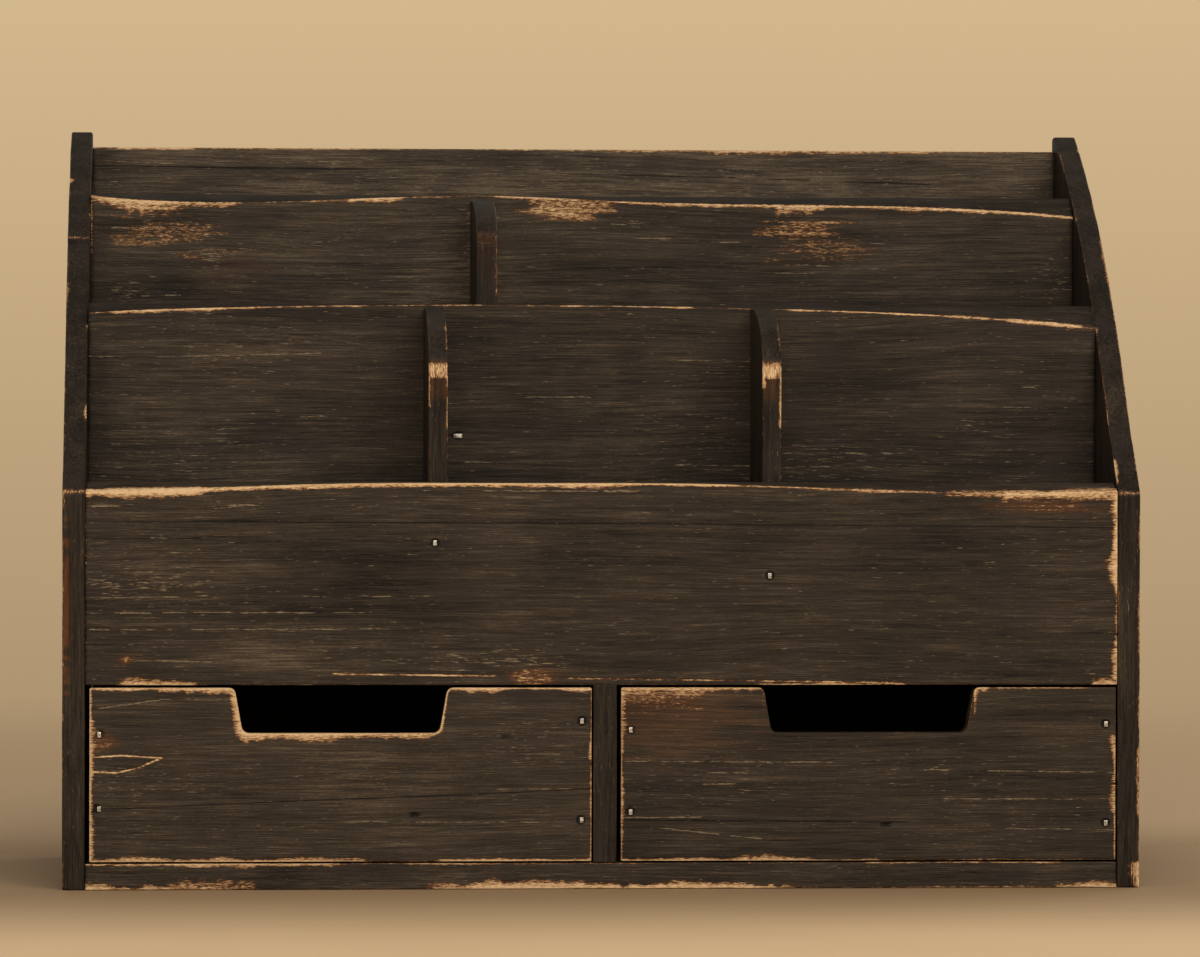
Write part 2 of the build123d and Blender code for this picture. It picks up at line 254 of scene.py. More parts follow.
    def patch(
        self, low, high, face="near", fade=3.0, wear=0.0, fleck=0.0, tone=0.0, glow=0.0, streak=0.42
    ):
        """Changes a soft oval of a face, streaky at its rim, in the box between two (along, up) points."""
        reach = [(end - start) / 2 + fade * share for start, end, share in zip(low, high, (1, 0.5))]
        away = np.hypot(
            (self.along - (low[0] + high[0]) / 2) / reach[0], (self.up - (low[1] + high[1]) / 2) / reach[1]
        )
        away = away + streak * drift(self.along / 12, self.up / 1.3, self.seed + 11)
        inside = (1 - smooth(away, 0.45, 1.1)) * self.on(face)
        self.wear = np.maximum(self.wear, wear * inside)
        self.fleck = np.maximum(self.fleck, fleck * inside)
        self.glow = np.maximum(self.glow, glow * inside)
        self.tone = self.tone + tone * inside

    def soften(self, low, high, amount):
        """Rounds the arrises more within a box between two (along, up) points."""
        inside = within(self.along, low[0], high[0], 4) * within(self.up, low[1], high[1], 4)
        self.easing = self.easing + amount * inside

    def draw(self, start, end, kind, amount):
        """A thin line on the near face: light is a scratch, dark a grain line, bare a rubbed edge."""
        along, up = end[0] - start[0], end[1] - start[1]
        length = math.hypot(along, up)
        run = ((self.along - start[0]) * along + (self.up - start[1]) * up) / length
        off = np.abs((self.up - start[1]) * along - (self.along - start[0]) * up) / length
        broken = 0.75 + 0.25 * drift(run / 3.5, run * 0, self.seed + round(start[1]))
        width = LINE_WIDTHS[kind]
        inside = within(run, 0, length, 2.0) * (1 - smooth(off, 0.15 * width, width))
        inside = inside * broken * self.on("near")
        if kind == "light":
            self.fleck = np.maximum(self.fleck, 1.5 * amount * inside)
        elif kind == "bare":
            self.wear = np.maximum(self.wear, amount * inside)
        else:
            self.tone = self.tone - 1.8 * amount * inside
            self.sink = self.sink + 0.2 * amount * inside

    def dent(self, middle, reach, deep, dark, stretch=1.0):
        """A dark pit in the near face."""
        away = np.hypot((self.along - middle[0]) / stretch, self.up - middle[1])
        pit = (1 - smooth(away, reach * 0.6, reach)) * self.on("near")
        self.sink = self.sink + deep * pit
        self.tone = self.tone - dark * pit
        self.wear = self.wear * (1 - pit)

    def ring(self, middle, radius, width, amount):
        """A faint round mark, as a wet glass leaves."""
        away = np.hypot(self.along - middle[0], self.up - middle[1])
        self.tone = self.tone + amount * np.exp(-(((away - radius) / width) ** 2)) * self.on("near")

    def seams(self, amount=0.3, reach=1.8):
        """Darker where the board's ends meet its neighbours."""
        end = np.minimum(self.to["left"], self.to["right"])
        self.tone = self.tone - amount * (1 - smooth(end, 0.2, reach))

    def tint(self, face, amount):
        self.tone = self.tone + amount * self.on(face)

    def paint_shade_on_top(self, amount, kept=1.0):
        """Painted shade on the edge that looks upwards, which keeps this share of its wear."""
        shade = self.on("top") * smooth(self.to["near"], 0.1, 0.8)
        self.tone = self.tone - amount * shade
        self.wear = self.wear * (1 - (1 - kept) * shade)

    def points(self):
        """The places of the points once the arrises are eased and the faces are worn."""
        slack = self.easing * (1 + 0.35 * drift(self.along / 9, self.up / 9 + self.through, self.seed + 3))
        over = {face: np.maximum(0, slack - distance) for face, distance in self.to.items()}
        out_along = over["right"] - over["left"] - over["top"] * np.sin(self.lean)
        out_up = over["top"] * np.cos(self.lean) - over["foot"]
        out_through = over["far"] - over["near"]
        reach = np.sqrt(out_along**2 + out_up**2 + out_through**2)
        pull = 1 - slack / np.maximum(reach, slack)
        wave = 0.10 + 0.10 * drift(self.grain_along / 46, self.grain_across / 17, self.seed + 5)
        wave = wave + 0.05 + 0.05 * drift(self.grain_along / 15, self.grain_across / 2.6, self.seed + 6)
        level = (wave + 0.1 * self.wear) * smooth(reach, 0, FACE_SLACK) + self.sink
        facing = self.on("near") * 1.0 - self.on("far") * 1.0
        return (
            self.along - out_along * pull,
            self.up - out_up * pull,
            self.through - out_through * pull + facing * level,
        )

    def quads(self):
        """The six sides of the grid, wound to face outwards."""
        last = [size - 1 for size in self.ids.shape]
        sheets = (
            (self.ids[:, :, 0], True), (self.ids[:, :, last[2]], False),
            (self.ids[0], True), (self.ids[last[0]], False),
            (self.ids[:, 0], False), (self.ids[:, last[1]], True),
        )
        # of the three views only this one has directions that form a left-handed frame
        mirrored = self.view == SEEN_FROM_FRONT
        found = []
        for sheet, turned in sheets:
            corners = (sheet[:-1, :-1], sheet[1:, :-1], sheet[1:, 1:], sheet[:-1, 1:])
            ring = np.stack(corners, -1).reshape(-1, 4)
            found.append(ring[:, ::-1] if turned != mirrored else ring)
        return np.concatenate(found)

    def make(self, material, body="case"):
        places = np.empty((len(self.along), 3))
        for axis, values in zip(self.view, self.points()):
            places[:, axis] = values * MM
        places[:, DEPTH] -= CASE_DEPTH / 2 * MM
        faces = self.quads()
        mesh = bpy.data.meshes.new(self.node + "_worn")
        mesh.vertices.add(len(places))
        mesh.vertices.foreach_set("co", places.ravel())
        mesh.loops.add(faces.size)
        mesh.loops.foreach_set("vertex_index", faces.ravel())
        mesh.polygons.add(len(faces))
        mesh.polygons.foreach_set("loop_start", np.arange(len(faces)) * 4)
        mesh.update(calc_edges=True)
        mesh.polygons.foreach_set("use_smooth", np.ones(len(faces), bool))
        for name in ("wear", "tone", "fleck", "glow"):
            kept = mesh.attributes.new(name, "FLOAT", "POINT")
            kept.data.foreach_set("value", getattr(self, name).astype(np.float32))
        offset = self.seed * 37.0
        grain = (self.grain_along + offset, self.grain_across + offset * 3, self.through + offset)
        grain = np.stack(grain, -1)
        kept = mesh.attributes.new("grain", "FLOAT_VECTOR", "POINT")
        kept.data.foreach_set("vector", grain.astype(np.float32).ravel())
        mesh.validate()
        show(self.node, mesh, material, body)


def stand(name, data):
    """Puts a new object in the scene."""
    made = bpy.data.objects.new(name, data)
    bpy.context.scene.collection.objects.link(made)
    return made


def show(node, mesh, material, body):
    """Puts a mesh in the place of a node of the frame."""
    mesh.materials.append(material)
    piece = stand(node + "_worn", mesh)
    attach(piece, body)
    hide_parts(node)


# -------- materials
def srgb(red, green, blue):
    """A colour given as 0 to 255 on a screen, as the linear colour that a shader takes."""
    shares = [value / 255 for value in (red, green, blue)]
    return tuple(s / 12.92 if s <= 0.04045 else ((s + 0.055) / 1.055) ** 2.4 for s in shares) + (1,)


# stains from dark to light, evenly spread over the tone, and the colours of the flecks in them
EVENLY = (0.0, 0.25, 0.5, 0.75, 1.0)
STAIN = (srgb(22, 18, 14), srgb(38, 32, 26), srgb(55, 47, 38), srgb(76, 65, 53), srgb(108, 94, 77))
FLECKS = (srgb(80, 69, 55), srgb(146, 128, 102))
BOX_STAIN = (srgb(42, 31, 22), srgb(60, 46, 33), srgb(80, 62, 45), srgb(101, 80, 59), srgb(126, 101, 76))
BOX_FLECKS = (srgb(112, 90, 66), srgb(150, 124, 94))
PLY_STAIN = (srgb(52, 40, 28), srgb(73, 57, 41), srgb(93, 74, 54), srgb(112, 91, 68), srgb(134, 111, 84))
PLY_FLECKS = (srgb(120, 98, 73), srgb(158, 132, 101))
PLUM = srgb(54, 45, 43)
# other colours with their places on what picks them: grain lines, wear and scuffs
RUST = ((0.35, srgb(74, 44, 24)), (0.65, srgb(126, 78, 42)))
BARE = (
    (0.42, srgb(98, 64, 38)), (0.52, srgb(138, 100, 66)), (0.66, srgb(182, 145, 105)),
    (0.9, srgb(230, 198, 155)),
)
STEEL = ((0.36, srgb(112, 104, 92)), (0.56, srgb(246, 242, 233)))
# from where to where each effect comes in
PLUM_FROM, HALO_FROM, FLECKED_FROM, BARE_FROM = (0.5, 0.72), (0.2, 0.55), (0.68, 0.8), (0.42, 0.54)


class Tree:
    """Short spellings for the nodes of a tree."""

    def __init__(self, tree):
        self.tree = tree

    def node(self, kind, **settings):
        made = self.tree.nodes.new(kind)
        for key, value in settings.items():
            setattr(made, key, value)
        return made

    def feed(self, socket, value):
        if isinstance(value, bpy.types.NodeSocket):
            self.tree.links.new(value, socket)
        else:
            socket.default_value = value

    def math(self, operation, *values):
        made = self.node("ShaderNodeMath", operation=operation)
        for socket, value in zip(made.inputs, values):
            self.feed(socket, value)
        return made.outputs[0]

    def attribute(self, name, output="Fac"):
        return self.node("ShaderNodeAttribute", attribute_name=name).outputs[output]

    def noise(self, vector, scale, detail=2.0, roughness=0.5):
        stretched = self.node("ShaderNodeVectorMath", operation="MULTIPLY")
        self.feed(stretched.inputs[0], vector)
        stretched.inputs[1].default_value = scale
        made = self.node("ShaderNodeTexNoise")
        self.feed(made.inputs["Vector"], stretched.outputs[0])
        made.inputs["Scale"].default_value = 1.0
        made.inputs["Detail"].default_value = detail
        made.inputs["Roughness"].default_value = roughness
        return made.outputs["Fac"]

    def blend(self, start, *weighted):
        """A start value plus each (weight, value less its middle of one half)."""
        total = start
        for weight, value in weighted:
            total = self.math("ADD", total, self.math("MULTIPLY", self.math("SUBTRACT", value, 0.5), weight))
        return total

    def ramp(self, value, stops):
        made = self.node("ShaderNodeValToRGB")
        points = made.color_ramp.elements
        while len(points) < len(stops):
            points.new(0.5)
        for point, (place, colour) in zip(points, stops):
            point.position = place
            point.color = colour
        self.feed(made.inputs["Fac"], value)
        return made.outputs["Color"]

    def mix(self, share, first, second):
        made = self.node("ShaderNodeMix", data_type="RGBA")
        self.feed(made.inputs["Factor"], share)
        self.feed(made.inputs[6], first)
        self.feed(made.inputs[7], second)
        return made.outputs[2]

    def remap(self, value, low, high, to_low=0.0, to_high=1.0, curve="SMOOTHSTEP"):
        made = self.node("ShaderNodeMapRange", interpolation_type=curve)
        for socket, number in zip(made.inputs, (value, low, high, to_low, to_high)):
            self.feed(socket, number)
        return made.outputs[0]


class Shader(Tree):
    """The tree of a new material."""

    def __init__(self, name):
        self.material = bpy.data.materials.new(name + "_finish")
        self.material["slot"] = name
        self.material.use_nodes = True
        super().__init__(self.material.node_tree)
        self.surface = self.tree.nodes["Principled BSDF"]

    def put(self, name, value):
        self.feed(self.surface.inputs[name], value)

    def bump(self, height, strength, distance):
        made = self.node("ShaderNodeBump")
        made.inputs["Strength"].default_value = strength
        made.inputs["Distance"].default_value = distance * MM
        self.feed(made.inputs["Height"], height)
        self.put("Normal", made.outputs["Normal"])


def wood(name, stain, flecks, contrast=1.0, sheen=0.5):
    """Stained softwood: the stain's colours from dark to light, and those of its pale flecks.

    Where the attribute wear is high the stain is rubbed through, with a rusty border round the bare wood.
    """
    shader = Shader(name)
    # scales are cells to a millimetre: along the grain, across it and through the board
    grain = shader.attribute("grain", "Vector")
    lines = shader.noise(grain, (0.022, 0.85, 0.85), 5.0, 0.72)
    hair = shader.noise(grain, (0.07, 2.5, 2.5), 3.0, 0.7)
    bands = shader.noise(grain, (0.007, 0.2, 0.2), 3.0)
    cloud = shader.noise(grain, (0.025, 0.06, 0.06), 3.0)
    hue = shader.noise(grain, (0.04, 0.09, 0.09), 1.0)
    specks = shader.noise(grain, (0.55, 2.4, 2.4), 3.0, 0.65)
    dashes = shader.noise(grain, (0.2, 2.4, 2.4), 2.0)
    tone = shader.blend(
        shader.math("ADD", shader.attribute("tone"), 0.5),
        (1.05 * contrast, lines),
        (1.2 * contrast, hair),
        (0.5 * contrast, bands),
        (0.6 * contrast, cloud),
        (0.5 * contrast, specks),
    )
    colour = shader.ramp(tone, list(zip(EVENLY, stain)))
    colour = shader.mix(shader.remap(hue, *PLUM_FROM, 0.0, 0.4), colour, PLUM)
    wear = shader.attribute("wear")
    halo = shader.remap(shader.blend(wear, (0.5, cloud), (0.8, specks)), *HALO_FROM, 0.0, 0.55)
    rusty = shader.math("MAXIMUM", halo, shader.math("MULTIPLY", shader.attribute("glow"), 0.9))
    colour = shader.mix(rusty, colour, shader.ramp(lines, RUST))
    flecked = shader.blend(dashes, (0.25, specks), (0.15, hair))
    flecked = shader.math("MULTIPLY_ADD", shader.attribute("fleck"), 0.36, flecked)
    flecked = shader.remap(flecked, *FLECKED_FROM)
    colour = shader.mix(flecked, colour, shader.ramp(specks, [(0.35, flecks[0]), (0.65, flecks[1])]))
    worn = shader.blend(wear, (1.5, specks), (0.8, lines), (0.35, cloud))
    mask = shader.remap(worn, *BARE_FROM)
    colour = shader.mix(mask, colour, shader.ramp(worn, BARE))
    shader.put("Base Color", colour)
    roughness = shader.blend(shader.math("MULTIPLY_ADD", mask, 0.2, sheen), (0.3, specks), (0.25, cloud))
    shader.put("Roughness", roughness)
    shader.put("Specular IOR Level", 0.14)
    shader.bump(shader.blend(shader.math("MULTIPLY", mask, -0.2), (0.9, lines), (0.9, hair)), 0.6, 0.3)
    return shader.material


def steel(name):
    """Bare wire, a little scratched and dulled."""
    shader = Shader(name)
    place = shader.node("ShaderNodeTexCoord").outputs["Object"]
    scuffs = shader.noise(place, (900, 900, 1500), 3.0, 0.7)
    shader.put("Base Color", shader.ramp(scuffs, STEEL))
    shader.put("Roughness", shader.remap(scuffs, 0.2, 0.8, 0.22, 0.5))
    shader.put("Metallic", 1.0)
    shader.bump(scuffs, 0.3, 0.1)
    return shader.material


stained_wood = wood("stained_wood", STAIN, FLECKS)
drawer_box_wood = wood("drawer_box_wood", BOX_STAIN, BOX_FLECKS, 0.9, 0.62)
drawer_plywood = wood("drawer_plywood", PLY_STAIN, PLY_FLECKS, 0.8, 0.66)
brad_steel = steel("brad_steel")

# -------- outlines
# the side panels: their front edge's height, the (depth, height) points where the slope and the arc
# end, and the hollow's depth from the front, reach and amount
SIDE_FRONT_HEIGHT = 147.0
SIDE_SLOPE = (50.0, 199.0)
SIDE_SWEEP_END = (174.0, 287.0)
SIDE_HOLLOW = (24.0, 9.0, 2.4)
# no point of a wavy arris lies further than this below its board's highest one
RIM_DROP = 12.0


def side_top(depth, share):
    """The side panels' outline: a slope, hand-cut a little hollow, and an arc on to the level top."""
    rise, run = SIDE_SLOPE[1] - SIDE_FRONT_HEIGHT, SIDE_SLOPE[0]
    slope = SIDE_FRONT_HEIGHT + rise / run * depth
    length = math.hypot(run, rise)
    normal = (rise / length, -run / length)
    chord = (SIDE_SWEEP_END[0] - SIDE_SLOPE[0], SIDE_SWEEP_END[1] - SIDE_SLOPE[1])
    radius = (chord[0] ** 2 + chord[1] ** 2) / (2 * (chord[0] * normal[0] + chord[1] * normal[1]))
    middle = (SIDE_SLOPE[0] + radius * normal[0], SIDE_SLOPE[1] + radius * normal[1])
    arc = middle[1] + np.sqrt(np.maximum(radius**2 - (depth - middle[0]) ** 2, 0))
    swept = np.where(depth < SIDE_SLOPE[0], slope, np.minimum(arc, SIDE_SWEEP_END[1]))
    swept = np.where(depth > SIDE_SWEEP_END[0], SIDE_SWEEP_END[1], swept)
    place, reach, deep = SIDE_HOLLOW
    return swept - deep * np.exp(-(((depth - place) / reach) ** 2))


def rim_of(node):
    """The crest of a board between its wavy front arris and its straight rear one, read from the frame."""
    points = np.array([vertex.co for vertex in frame["nodes"][node].data.vertices]) / MM
    low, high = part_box(node)
    in_front, at_the_rim = low.y / MM + FACE_SLACK, high.z / MM - RIM_DROP
    front = points[(points[:, DEPTH] < in_front) & (points[:, HEIGHT] > at_the_rim)]
    front = front[np.argsort(front[:, 0])]
    crest = high.z / MM

    def top(x, share):
        arris = np.interp(x, front[:, 0], front[:, 2])
        return arris + (crest - arris) * np.clip(share, 0, 1) ** 0.8

    return top


def divider_top(node, shoulder, level):
    """A divider's quarter of an ellipse, from its front shoulder back to its level top."""
    low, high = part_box(node)
    front = low.y / MM + CASE_DEPTH / 2
    length = (high.y - low.y) / MM - level
    crest = high.z / MM

    def top(depth, share):
        back = np.clip((depth - front) / length, 0, 1)
        return shoulder + (crest - shoulder) * np.sqrt(1 - (1 - back) ** 2)

    return top


# a finger notch: its width at the top and at its level foot, its depth, and the radii of its corners
NOTCH_TOP, NOTCH_FOOT, NOTCH_DEEP = 78.5, 72.6, 16.8
NOTCH_LIP, NOTCH_CORNER = 2.5, 3.0
ROUND_STEPS = 8


def rounded(corners, radii):
    """The points of an open outline whose inner corners are rounded."""
    outline = [Vector(corners[0])]
    for before, corner, after, radius in zip(corners, corners[1:], corners[2:], radii):
        corner = Vector(corner)
        back, on = (Vector(before) - corner).normalized(), (Vector(after) - corner).normalized()
        half = back.angle(on) / 2
        middle = corner + (back + on).normalized() * radius / math.sin(half)
        start, end = corner + back * radius / math.tan(half), corner + on * radius / math.tan(half)
        for step in range(ROUND_STEPS + 1):
            spoke = (start - middle).slerp(end - middle, step / ROUND_STEPS)
            outline.append(middle + spoke.normalized() * radius)
    return outline + [Vector(corners[-1])]


def notch_top(node):
    low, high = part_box(node)
    middle, crest = (low.x + high.x) / 2 / MM, high.z / MM
    corners = [
        (low.x / MM - 1, crest),
        (middle - NOTCH_TOP / 2, crest),
        (middle - NOTCH_FOOT / 2, crest - NOTCH_DEEP),
        (middle + NOTCH_FOOT / 2, crest - NOTCH_DEEP),
        (middle + NOTCH_TOP / 2, crest),
        (high.x / MM + 1, crest),
    ]
    outline = rounded(corners, (NOTCH_LIP, NOTCH_CORNER, NOTCH_CORNER, NOTCH_LIP))
    across, height = [point.x for point in outline], [point.y for point in outline]

    def top(x, share):
        return np.interp(x, across, height)

    return middle, top


# -------- the case
# grid rows stay level up to SIDE_STILL, or up to RIM_STILL below a rim
SIDE_STILL = 115.0
RIM_STILL = 17.0
SIDE_FINE = (94, 104, 0.5)
RIM_EASE = 0.45


def rim_board(node, pace, lines, seed, pins=()):
    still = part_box(node)[1].z / MM - RIM_STILL
    return Board(node, SEEN_FROM_FRONT, pace, rim_of(node), still, lines, pins, ease=RIM_EASE, seed=seed)


for side, node in ((-1, "left_side_panel"), (1, "right_side_panel")):
    panel = Board(
        node, SEEN_FROM_SIDE, (1.5, 1.3), side_top, SIDE_STILL, fine=(SIDE_FINE,),
        ease=0.8, grain="up", seed=3 + side,
    )
    outer, inner = ("near", "far") if side < 0 else ("far", "near")
    panel.rub((inner, "left"), 0.5, 0.45)
    panel.rub((inner, "top"), 0.4, 0.2, [(28, 31, 1.2, 0.8), (58, 60, 1.2, 0.8), (112, 114, 1.4, 0.8)])
    panel.rub((outer, "right"), 1.3, 0.6)
    panel.rub((outer, "foot"), 0.8, 0.5)
    panel.rub(("left", "top"), 0.9, 0.62)
    panel.soften((170, 280), (190, 290), 0.2)
    panel.tint("left", -0.08)
    # painted shade on the sweep and top, which look upwards
    panel.paint_shade_on_top(0.26)
    if side < 0:
        panel.rub((outer, "left"), 0.7, 0.5, [(2, 12, 1.2, 0.7), (84, 128, 0.8, 0.55), (141, 147, 1.4, 0.7)])
        worn_spots = [(133, 136, 1.8, 0.85), (70, 78, 1.0, 0.6), (150, 152, 1.2, 0.7)]
        panel.rub((outer, "top"), 0.7, 0.48, worn_spots)
        panel.patch((-9, 84), (9, 128), "left", 20, glow=0.85)
        panel.glow = panel.glow * (1 - smooth(panel.to["near"], 0.8, 4.2))
        # a crack across the edge, with a pale lip behind a dark one
        panel.patch((99.6, 200), (100.6, 300), "top", 0.5, wear=0.42)
        panel.patch((97.2, 200), (98.4, 300), "top", 0.5, tone=-0.5)
    else:
        panel.rub((outer, "left"), 0.9, 0.7, [(0, 9, 4.0, 0.8), (28, 56, 1.5, 0.7), (92, 110, 1.1, 0.66)])
        panel.rub((outer, "top"), 0.8, 0.68, [(60, 100, 1.0, 0.66), (160, 164, 1.4, 0.8)])
        panel.rub((inner, "top"), 0.7, 0.5, [(4, 12, 1.4, 0.9)])
        # painted shade on the inner face
        panel.tint("near", -0.2)
        panel.tint("left", -0.12)
    panel.make(stained_wood)

base = Board("base_board", SEEN_FROM_ABOVE, (1.3, 2.4), seed=5, ease=0.6)
base.rub(("far", "foot"), 0.7, 0.5, [(-191, -103, 1.4, 0.85), (-90, -40, 0.8, 0.7), (100, 165, 0.9, 0.75)])
base.rub(
    ("near", "foot"), 0.7, 0.55,
    [
        (-191, -162, 2.2, 0.9), (-160, -130, 3.6, 0.6), (-56, 62, 2.8, 0.9), (108, 172, 0.9, 0.7),
        (170, 191, 3.2, 0.85),
    ],
)
base.seams(0.2, 1.2)
base.make(stained_wood)

Board("pocket_floor", SEEN_FROM_ABOVE, (2.5, 2.5), seed=6).make(stained_wood)

back = Board(
    "back_panel", SEEN_FROM_FRONT, (2.2, 1.8), seed=7, ease=0.6,
    lines=(
        ((-191, 273.6), (-85, 272.8), "dark", 0.42),
        ((-150, 272.9), (-92, 272.4), "dark", 0.3),
        ((18, 270.9), (63, 270.1), "dark", 0.4),
        ((77, 269.5), (93, 269.2), "dark", 0.4),
        ((108, 268.6), (140, 267.9), "dark", 0.42),
        ((-182, 275.3), (-158, 274.7), "light", 0.9),
        ((-120, 276.0), (-84, 275.4), "light", 0.55),
        ((30, 265.0), (60, 264.5), "light", 0.5),
    ),
)
back.rub(
    ("near", "top"), 0.7, 0.55,
    [
        (-191, -125, 0.8, 0.75), (-181, -152, 1.4, 0.9), (18, 137, 1.2, 0.75), (54, 82, 2.2, 0.82),
        (-130, 18, 0.6, 0.75),
    ],
)
back.rub(("far", "top"), 0.8, 0.6)
back.tint("near", 0.24)
back.patch((-191, 277), (-183, 281), tone=-0.3)
back.patch((-191, 255), (191, 276), fade=8, tone=0.05, fleck=0.2)
back.seams(0.3)
back.make(stained_wood)

front = rim_board(
    "front_panel", (2.2, 1.5), seed=8,
    pins=((-62.7, 128.0), (61.5, 116.0)),
    lines=(
        ((-190, 135.9), (14, 135.2), "dark", 0.45),
        ((14, 135.2), (191, 133.9), "dark", 0.3),
        ((-188, 129.4), (-150, 129.6), "dark", 0.3),
        ((-190, 141.6), (-110, 142.0), "light", 0.7),
        ((-45, 147.4), (12, 147.2), "light", 0.95),
        ((-189, 107.7), (-158, 108.1), "light", 0.9),
        ((-112, 108.2), (-60, 108.3), "light", 0.55),
        ((-189, 102.2), (-85, 102.4), "light", 0.75),
        ((-189, 96.0), (-80, 96.3), "light", 0.75),
        ((-172, 84.6), (-146, 84.2), "light", 0.9),
        ((-100, 79.7), (-41, 78.9), "bare", 0.85),
        ((-33, 78.3), (112, 76.3), "bare", 0.72),
    ),
)
front.rub(
    ("near", "top"), 0.8, 0.6,
    [
        (-191, -150, 2.5, 0.98), (-150, -67, 1.7, 0.95), (-70, 0, 1.8, 0.98), (0, 46, 1.0, 0.95),
        (46, 100, 0.6, 0.62), (96, 140, 0.9, 0.6), (128, 152, 2.2, 0.6), (150, 191.3, 3.4, 0.8),
    ],
    ragged=0.5,
)
front.rub(("near", "right"), 0.6, 0.5, [(112, 160, 2.6, 0.9), (90, 112, 1.1, 0.6), (75, 92, 2.3, 0.75)])
front.rub(("near", "left"), 0.5, 0.4)
front.rub(("near", "foot"), 0.5, 0.35, [(-177, -152, 2.2, 0.8), (182, 191, 2.6, 0.75), (60, 110, 1.0, 0.7)])
front.patch((-34, 76), (-20, 81), wear=0.42, glow=0.5)
front.patch((-178, 84), (-174, 86), fade=1.5, wear=0.6, glow=0.8)
front.patch((-200, 92), (-140, 130), fade=20, fleck=0.12)
front.patch((-192, 111), (-158, 115), fade=8, fleck=0.4)
front.patch((-60, 84), (-20, 86), fade=8, fleck=0.4)
front.patch((-130, 84), (-60, 88), fade=14, fleck=0.1, tone=0.1)
front.patch((-46, 92), (-30, 140), fade=6, tone=0.07)
for height in (99.5, 106, 112.5, 119, 125.5):
    front.patch((-128, height), (-54, height + 2.6), fade=14, tone=-0.15, streak=0.2)
front.patch((-26, 98), (-4, 126), fade=8, tone=-0.1)
front.patch((104, 108), (146, 128), fade=12, tone=-0.06)
front.patch((90, 76), (185, 96), fade=14, tone=-0.05)
front.patch((146, 141), (182, 143), fade=6, wear=0.3, glow=0.4)
front.dent((-35.0, 126.6), 0.9, 0.15, 0.5)
# painted sheen: the front is lighter towards the left and darker towards the right
front.patch((-180, 84), (-60, 146), fade=30, tone=0.08)
front.patch((70, 84), (186, 146), fade=30, tone=-0.05)
front.seams(0.25, 1.0)
front.make(stained_wood)

middle_board = rim_board(
    "middle_board", (2.2, 1.6), seed=9,
    pins=((-51.8, 167.4),),
    lines=(
        ((-191, 197.3), (-178, 197.0), "light", 0.7),
        ((-166, 197.0), (-104, 198.6), "light", 0.8),
        ((-191, 182.9), (-176, 182.8), "light", 0.7),
        ((-191, 169.3), (-166, 169.0), "light", 0.6),
        ((-111, 174.6), (-100, 174.9), "light", 0.6),
        ((-24, 182.3), (-4, 182.3), "light", 0.8),
        ((30, 196.4), (60, 195.9), "light", 0.6),
        ((-49, 157.6), (-30, 157.4), "light", 0.75),
        ((33, 156.6), (60, 156.3), "light", 0.6),
        ((73, 161.2), (120, 161.2), "light", 0.6),
        ((73, 156.1), (104, 156.0), "light", 0.6),
        ((150, 178.9), (178, 178.6), "light", 0.5),
        ((160, 186.6), (168, 186.4), "light", 0.7),
    ),
)
middle_board.rub(
    ("near", "top"), 0.5, 0.45,
    [
        (-191, -181, 0.6, 0.7), (-180, -141, 1.5, 0.85), (-141, -90, 0.8, 0.75), (-73, -43, 0.6, 0.65),
        (-10, 35, 0.8, 0.85), (76, 130, 0.7, 0.85), (130, 160, 0.6, 0.7), (158, 185, 1.3, 0.85),
    ],
)
middle_board.patch((-182, 149), (-120, 166), fade=16, fleck=0.2, tone=0.06)
middle_board.patch((-160, 200), (-104, 211), fade=16, fleck=0.14)
middle_board.patch((-170, 184), (-130, 192), fade=14, fleck=0.1)
middle_board.patch((-192, 150), (-186, 212), fade=4, tone=-0.12)
middle_board.patch((-58, 172), (-40, 212), fade=8, tone=-0.08)
middle_board.patch((14, 150), (52, 176), fade=14, fleck=0.12)
middle_board.patch((70, 149), (112, 166), fade=12, fleck=0.18)
middle_board.patch((138, 170), (148, 174), fade=3, fleck=0.3)
middle_board.patch((136, 150), (178, 176), fade=12, tone=-0.07, fleck=0.06)
middle_board.patch((86, 176), (104, 190), fade=10, tone=-0.07)
middle_board.patch((10, 182), (19, 204), fade=5, tone=-0.09)
middle_board.ring((-3, 188), 10.5, 2.2, 0.09)
middle_board.ring((-42, 201), 7.0, 1.0, 0.06)
middle_board.dent((-54.6, 167.2), 1.3, 0.3, 0.5)
# painted sheen: lighter towards the left
middle_board.patch((-180, 152), (-80, 212), fade=30, tone=0.05)
middle_board.seams(0.3)
# painted shade on the rim's upward face, which keeps a quarter of its wear
middle_board.paint_shade_on_top(0.24, 0.25)
middle_board.make(stained_wood)

upper = rim_board(
    "upper_board", (2.2, 1.6), seed=10,
    lines=(
        ((-184, 247.4), (-146, 247.2), "light", 1.0),
        ((-172, 250.6), (-152, 250.4), "light", 0.7),
        ((-178, 221.2), (-158, 221.6), "light", 0.8),
        ((-150, 237.6), (-134, 237.8), "light", 0.8),
        ((52, 249.6), (60, 249.6), "light", 0.9),
        ((54, 242.9), (61, 242.9), "light", 1.0),
        ((18, 244.4), (33, 244.2), "light", 0.9),
        ((112, 242.6), (118, 242.6), "light", 0.8),
        ((88, 234.0), (101, 233.8), "light", 0.7),
        ((72, 231.2), (90, 231.0), "light", 0.6),
        ((0, 232.4), (34, 233.2), "dark", 0.25),
        ((-120, 229.0), (-70, 230.0), "dark", 0.2),
    ),
)
upper.rub(
    ("near", "top"), 0.7, 0.55,
    [
        (-191, -183, 2.4, 0.72), (-183, -158, 4.2, 0.82), (-160, -134, 1.8, 0.76), (-91, -71, 1.9, 0.82),
        (-34, -21, 0.8, 0.9), (-22, -2, 2.2, 0.7), (14, 178, 1.0, 0.82), (75, 93, 3.2, 0.8),
        (122, 132, 1.8, 0.76), (178, 191, 0.9, 0.85),
    ],
)
upper.rub(("near", "left"), 0.5, 0.3, [(238, 258, 1.2, 0.5)])
upper.patch((-24, 253), (12, 259.5), fade=5, wear=0.56)
